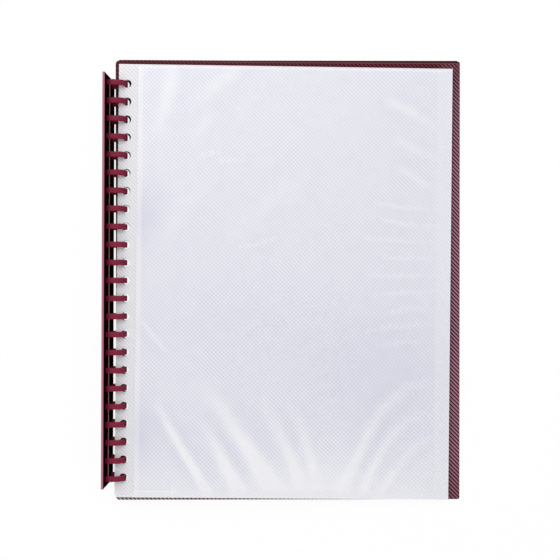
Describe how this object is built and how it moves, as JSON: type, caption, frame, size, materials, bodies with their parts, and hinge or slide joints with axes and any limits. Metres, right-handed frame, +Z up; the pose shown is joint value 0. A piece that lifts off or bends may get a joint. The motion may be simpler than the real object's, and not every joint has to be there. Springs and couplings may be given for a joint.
{
  "type": "clear pocket display book",
  "caption": "Ring-bound display book of clear pocket leaves in ribbed maroon covers, open at its last page with the front cover folded round behind.",
  "frame": {"origin": "middle of the spine rail's foot, on the table", "axes": "+X across the page away from the spine, +Y up the page, +Z up from the table"},
  "size_m": [0.2533, 0.3152, 0.0228],
  "materials": {
    "cover_sheet": "ribbed satin",
    "spine_plastic": "moulded satin",
    "clear_film": "clear, finely ribbed"
  },
  "bodies": {
    "front_cover": {"front_cover": "cover_sheet"},
    "back_cover": {"back_cover": "cover_sheet"},
    "comb": {"ring_comb": "spine_plastic"},
    "rail": {"spine_rail": "spine_plastic"},
    "leaf_01": {"leaf_01_back_film": "clear_film", "leaf_01_front_film": "clear_film"},
    "leaf_02": {"leaf_02_back_film": "clear_film", "leaf_02_front_film": "clear_film"},
    "leaf_03": {"leaf_03_back_film": "clear_film", "leaf_03_front_film": "clear_film"},
    "leaf_04": {"leaf_04_back_film": "clear_film", "leaf_04_front_film": "clear_film"},
    "leaf_05": {"leaf_05_back_film": "clear_film", "leaf_05_front_film": "clear_film"},
    "leaf_06": {"leaf_06_back_film": "clear_film", "leaf_06_front_film": "clear_film"},
    "leaf_07": {"leaf_07_back_film": "clear_film", "leaf_07_front_film": "clear_film"},
    "leaf_08": {"leaf_08_back_film": "clear_film", "leaf_08_front_film": "clear_film"}
  },
  "joints": [
    {"name": "comb_turn", "type": "hinge", "parent": "front_cover", "child": "comb", "pos_m": [0.0074, 0, 0.0103], "axis": [0, -1, 0], "range_deg": [0, 80]},
    {"name": "back_cover_turn", "type": "hinge", "parent": "front_cover", "child": "back_cover", "pos_m": [0.0074, 0, 0.0103], "axis": [0, -1, 0], "range_deg": [0, 40]},
    {"name": "rail_slide", "type": "slide", "parent": "comb", "child": "rail", "axis": [0, 1, 0], "range_m": [0, 0.3]},
    {"name": "leaf_01_turn", "type": "hinge", "parent": "comb", "child": "leaf_01", "pos_m": [0.0074, 0, 0.0103], "axis": [0, -1, 0], "range_deg": [0, 88]},
    {"name": "leaf_02_turn", "type": "hinge", "parent": "comb", "child": "leaf_02", "pos_m": [0.0074, 0, 0.0103], "axis": [0, -1, 0], "range_deg": [0, 77]},
    {"name": "leaf_03_turn", "type": "hinge", "parent": "comb", "child": "leaf_03", "pos_m": [0.0074, 0, 0.0103], "axis": [0, -1, 0], "range_deg": [0, 66]},
    {"name": "leaf_04_turn", "type": "hinge", "parent": "comb", "child": "leaf_04", "pos_m": [0.0074, 0, 0.0103], "axis": [0, -1, 0], "range_deg": [0, 55]},
    {"name": "leaf_05_turn", "type": "hinge", "parent": "comb", "child": "leaf_05", "pos_m": [0.0074, 0, 0.0103], "axis": [0, -1, 0], "range_deg": [0, 44]},
    {"name": "leaf_06_turn", "type": "hinge", "parent": "comb", "child": "leaf_06", "pos_m": [0.0074, 0, 0.0103], "axis": [0, -1, 0], "range_deg": [0, 33]},
    {"name": "leaf_07_turn", "type": "hinge", "parent": "comb", "child": "leaf_07", "pos_m": [0.0074, 0, 0.0103], "axis": [0, -1, 0], "range_deg": [0, 22]},
    {"name": "leaf_08_turn", "type": "hinge", "parent": "comb", "child": "leaf_08", "pos_m": [0.0074, 0, 0.0103], "axis": [0, -1, 0], "range_deg": [0, 11]}
  ],
  "couplings": [
    {"joint": "back_cover_turn", "follows": "comb_turn", "ratio": 0.5},
    {"joint": "leaf_02_turn", "follows": "leaf_01_turn", "ratio": 0.875},
    {"joint": "leaf_03_turn", "follows": "leaf_01_turn", "ratio": 0.75},
    {"joint": "leaf_04_turn", "follows": "leaf_01_turn", "ratio": 0.625},
    {"joint": "leaf_05_turn", "follows": "leaf_01_turn", "ratio": 0.5},
    {"joint": "leaf_06_turn", "follows": "leaf_01_turn", "ratio": 0.375},
    {"joint": "leaf_07_turn", "follows": "leaf_01_turn", "ratio": 0.25},
    {"joint": "leaf_08_turn", "follows": "leaf_01_turn", "ratio": 0.125}
  ]
}
